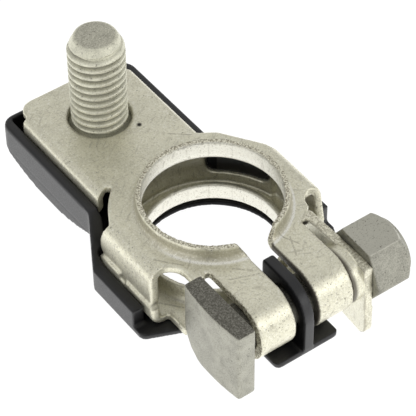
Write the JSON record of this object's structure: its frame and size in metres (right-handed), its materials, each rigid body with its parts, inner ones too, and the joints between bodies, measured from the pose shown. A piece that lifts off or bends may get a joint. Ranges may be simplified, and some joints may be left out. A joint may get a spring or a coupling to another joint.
{
  "type": "battery terminal clamp",
  "caption": "Folded sheet clamp for a round battery post, with a threaded stud on a side arm, a cross bolt with a tall nut, and a moulded holder underneath.",
  "frame": {"origin": "on the axis of the post bore, in the plane of the upper collar's rim", "axes": "+Z along the post bore and the stud, upwards; +X along the cross bolt towards the nut; +Y from the bore towards the stud"},
  "size_m": [0.0341, 0.0547, 0.0292],
  "materials": {
    "tinned_sheet": "matt tin with fine scratches and dark specks",
    "black_moulding": "fine matt moulding texture",
    "plated_stud": "matt zinc plating",
    "plated_bolt": "matt zinc flake plating with fine pits"
  },
  "bodies": {
    "clamp": {"clamp_body": "tinned_sheet", "holder": "black_moulding", "stud": "plated_stud"},
    "bolt": {"cross_bolt": "plated_bolt"},
    "nut": {"nut": "plated_bolt"}
  },
  "joints": [
    {"name": "nut_turn", "type": "hinge", "parent": "clamp", "child": "nut", "pos_m": [0.0109, -0.0164, -0.0073], "axis": [1, 0, 0], "range_deg": [-632, 722]},
    {"name": "bolt_slide", "type": "slide", "parent": "clamp", "child": "bolt", "axis": [1, 0, 0], "range_m": [-0.002, 0.00175]}
  ],
  "couplings": [
    {"joint": "nut_turn", "follows": "bolt_slide", "rad_per_m": -6283.2}
  ]
}
